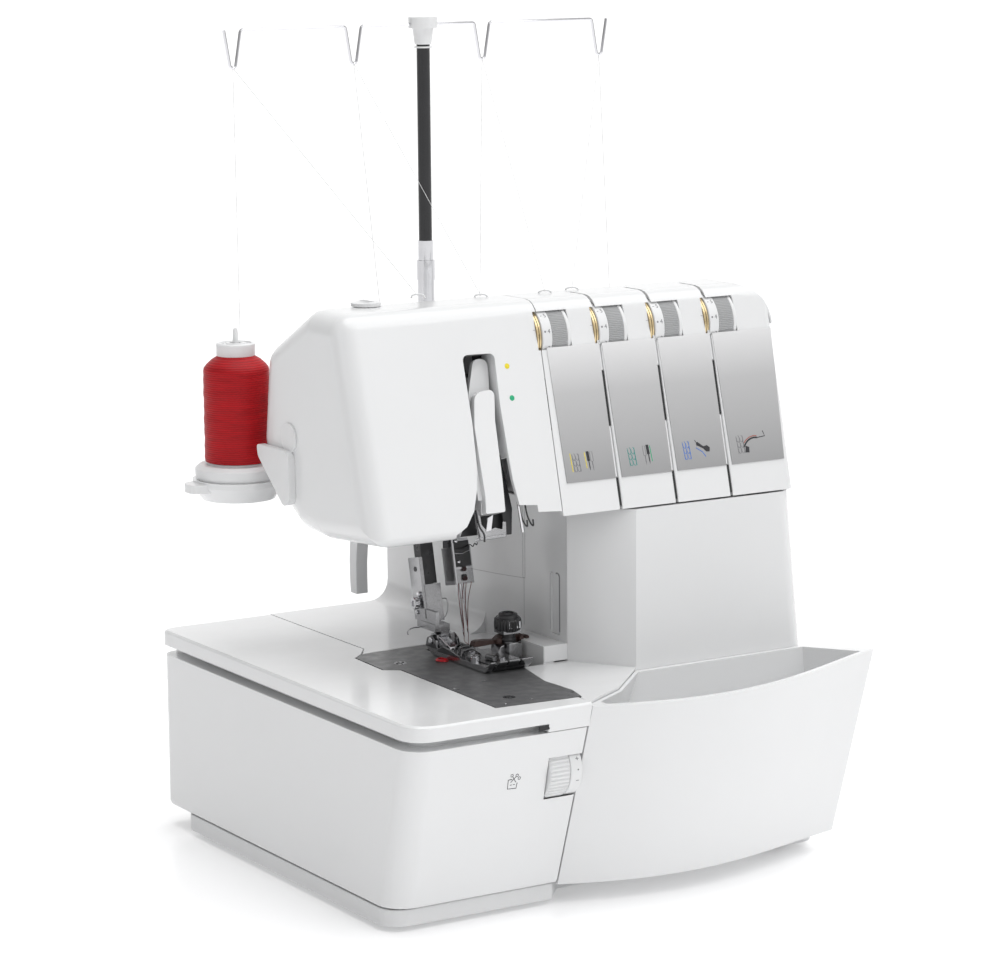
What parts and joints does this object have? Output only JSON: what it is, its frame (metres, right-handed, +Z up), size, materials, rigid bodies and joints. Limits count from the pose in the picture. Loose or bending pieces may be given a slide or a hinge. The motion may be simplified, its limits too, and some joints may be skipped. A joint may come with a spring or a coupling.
{
  "type": "serger overlock machine",
  "caption": "Free-standing serger overlock machine with leaning head, tension dials, telescopic thread stand, presser foot and waste tray.",
  "frame": {"origin": "centre of the bounding box on the surface the rubber feet stand on", "axes": "+X to the right as the user sits in front of the machine, +Y to its back, +Z up"},
  "size_m": [0.3238, 0.299, 0.4545],
  "materials": {
    "cover_white": "glossy moulded white plastic",
    "knob_white": "satin white plastic",
    "base_grey": "satin light grey plastic",
    "foot_rubber": "matt rubber",
    "label_silver": "silver film with a vertical shade",
    "dial_grey": "ribbed grey plastic",
    "brass": "polished",
    "steel": "ground steel",
    "chrome": "bright plated",
    "dark_steel": "blackened steel, satin",
    "plate_grey": "dark grey stitch plate, satin",
    "cast": "as cast",
    "motor_black": "satin black",
    "belt_rubber": "matt rubber",
    "thread_red": "wound polyester thread",
    "black_plastic": "satin black plastic",
    "lamp_lens": "frosted lens",
    "pole_black": "satin black tube"
  },
  "bodies": {
    "machine": {"base_plate": "base_grey", "rubber_feet": "foot_rubber", "side_cover": "cover_white", "inner_cover": "cover_white", "rear_cover": "cover_white", "right_cover": "cover_white", "head_cover": "cover_white", "tension_cover": "cover_white", "tension_labels": "label_silver", "tension_studs": "steel", "tension_discs": "brass", "tension_springs": "dark_steel", "machine_frame": "cast", "shaft_bearings": "brass", "motor": "motor_black", "drive_belt": "belt_rubber", "take_up_cover": "cover_white", "presser_spring": "dark_steel", "stitch_plate": "plate_grey", "plate_screws": "chrome", "lower_knife": "steel", "power_inlet": "black_plastic", "stand_tube": "chrome", "spool_stand": "cover_white", "spool_pins": "knob_white", "thread_spools": "thread_red", "thread_cutter": "knob_white", "lamp": "lamp_lens"},
    "cloth_plate": {"cloth_plate": "cover_white"},
    "looper_cover": {"looper_cover": "cover_white"},
    "waste_tray": {"waste_tray": "cover_white"},
    "drive_shaft": {"main_shaft": "steel", "drive_pulley": "black_plastic", "handwheel": "knob_white"},
    "motor_shaft": {"motor_pulley": "steel"},
    "needle_drive": {"needle_bar": "chrome", "needle_clamp": "steel", "needles": "chrome", "needle_screws": "dark_steel"},
    "take_up": {"take_up_lever": "knob_white"},
    "upper_looper": {"upper_looper": "chrome"},
    "lower_looper": {"lower_looper": "chrome"},
    "upper_knife": {"upper_knife": "steel"},
    "feed_dogs": {"feed_dogs": "steel"},
    "presser": {"presser_bar": "dark_steel", "presser_shank": "steel"},
    "presser_foot": {"presser_foot": "steel"},
    "presser_lifter": {"presser_lifter": "knob_white"},
    "pressure_dial": {"pressure_dial": "knob_white"},
    "width_dial": {"width_dial": "dial_grey"},
    "length_dial": {"length_dial": "knob_white"},
    "feed_dial": {"feed_dial": "knob_white"},
    "power_switch": {"power_switch": "black_plastic"},
    "thread_stand_top": {"stand_top_tube": "pole_black", "guide_cap": "knob_white", "thread_guide": "chrome"},
    "tension_dial_1": {"tension_dial_1": "dial_grey"},
    "tension_dial_2": {"tension_dial_2": "dial_grey"},
    "tension_dial_3": {"tension_dial_3": "dial_grey"},
    "tension_dial_4": {"tension_dial_4": "dial_grey"}
  },
  "joints": [
    {"name": "cloth_plate_swing", "type": "hinge", "parent": "machine", "child": "cloth_plate", "pos_m": [-0.13365, 0.14092, 0.103], "axis": [0, 0, -1], "range_deg": [0, 90]},
    {"name": "looper_cover_slide", "type": "slide", "parent": "machine", "child": "looper_cover", "axis": [1, 0, 0], "range_m": [0, 0.008]},
    {"name": "waste_tray_pull", "type": "slide", "parent": "looper_cover", "child": "waste_tray", "axis": [0, -1, 0], "range_m": [0, 0.06]},
    {"name": "tension_dial_1_turn", "type": "hinge", "parent": "machine", "child": "tension_dial_1", "pos_m": [-0.00185, -0.02424, 0.2875], "axis": [1, 0, 0], "range_deg": [-120, 150]},
    {"name": "tension_dial_2_turn", "type": "hinge", "parent": "machine", "child": "tension_dial_2", "pos_m": [0.03425, -0.02424, 0.2875], "axis": [1, 0, 0], "range_deg": [-120, 150]},
    {"name": "tension_dial_3_turn", "type": "hinge", "parent": "machine", "child": "tension_dial_3", "pos_m": [0.07035, -0.02424, 0.2875], "axis": [1, 0, 0], "range_deg": [-120, 150]},
    {"name": "tension_dial_4_turn", "type": "hinge", "parent": "machine", "child": "tension_dial_4", "pos_m": [0.10645, -0.02424, 0.2875], "axis": [1, 0, 0], "range_deg": [-120, 150]},
    {"name": "handwheel_turn", "type": "hinge", "parent": "machine", "child": "drive_shaft", "pos_m": [0.05435, 0.04292, 0.078], "axis": [1, 0, 0], "continuous": true},
    {"name": "motor_turn", "type": "hinge", "parent": "machine", "child": "motor_shaft", "pos_m": [0.10535, -0.01508, 0.047], "axis": [1, 0, 0], "continuous": true},
    {"name": "needle_stroke", "type": "slide", "parent": "machine", "child": "needle_drive", "axis": [0, -0.2079, -0.9781], "range_m": [0, 0.027]},
    {"name": "take_up_swing", "type": "hinge", "parent": "machine", "child": "take_up", "pos_m": [-0.04765, 0.01792, 0.261], "axis": [1, 0, 0], "range_deg": [0, 10]},
    {"name": "upper_looper_swing", "type": "hinge", "parent": "machine", "child": "upper_looper", "pos_m": [-0.01265, -0.00108, 0.049], "axis": [0, 1, 0], "range_deg": [0, 8]},
    {"name": "lower_looper_swing", "type": "hinge", "parent": "machine", "child": "lower_looper", "pos_m": [-0.02765, -0.00708, 0.053], "axis": [0, -1, 0], "range_deg": [0, 8]},
    {"name": "upper_knife_stroke", "type": "slide", "parent": "machine", "child": "upper_knife", "axis": [0, 0, -1], "range_m": [0, 0.008]},
    {"name": "feed_dog_stroke", "type": "slide", "parent": "machine", "child": "feed_dogs", "axis": [0, -1, 0], "range_m": [0, 0.003]},
    {"name": "presser_lifter_lift", "type": "hinge", "parent": "machine", "child": "presser_lifter", "pos_m": [-0.06565, 0.04292, 0.21], "axis": [1, 0, 0], "range_deg": [0, 26]},
    {"name": "presser_bar_lift", "type": "slide", "parent": "machine", "child": "presser", "axis": [0, 0.2079, 0.9781], "range_m": [0, 0.0068]},
    {"name": "presser_foot_tilt", "type": "hinge", "parent": "presser", "child": "presser_foot", "pos_m": [-0.04515, 0.00592, 0.121], "axis": [-1, 0, 0], "range_deg": [0, 6]},
    {"name": "pressure_dial_turn", "type": "hinge", "parent": "machine", "child": "pressure_dial", "pos_m": [-0.09565, -0.00408, 0.308], "axis": [0, 0, 1], "range_deg": [-170, 170]},
    {"name": "width_dial_turn", "type": "hinge", "parent": "machine", "child": "width_dial", "pos_m": [-0.05165, -0.11273, 0.0765], "axis": [1, 0, 0], "range_deg": [-60, 60]},
    {"name": "length_dial_turn", "type": "hinge", "parent": "machine", "child": "length_dial", "pos_m": [0.13785, 0.11492, 0.161], "axis": [1, 0, 0], "range_deg": [-120, 120]},
    {"name": "feed_dial_turn", "type": "hinge", "parent": "machine", "child": "feed_dial", "pos_m": [0.13785, 0.11492, 0.121], "axis": [1, 0, 0], "range_deg": [-120, 120]},
    {"name": "power_switch_rock", "type": "hinge", "parent": "machine", "child": "power_switch", "pos_m": [0.13485, 0.11892, 0.073], "axis": [0, 1, 0], "range_deg": [0, 10]},
    {"name": "thread_stand_slide", "type": "slide", "parent": "machine", "child": "thread_stand_top", "axis": [0, 0, -1], "range_m": [0, 0.1]}
  ],
  "couplings": [
    {"joint": "motor_turn", "follows": "handwheel_turn", "ratio": 3.3333},
    {"joint": "take_up_swing", "follows": "needle_stroke", "rad_per_m": 6.464},
    {"joint": "upper_looper_swing", "follows": "needle_stroke", "rad_per_m": 5.171},
    {"joint": "lower_looper_swing", "follows": "needle_stroke", "rad_per_m": 5.171},
    {"joint": "upper_knife_stroke", "follows": "needle_stroke", "ratio": 0.296},
    {"joint": "feed_dog_stroke", "follows": "needle_stroke", "ratio": 0.111},
    {"joint": "presser_lifter_lift", "follows": "presser_bar_lift", "rad_per_m": 66.67}
  ]
}
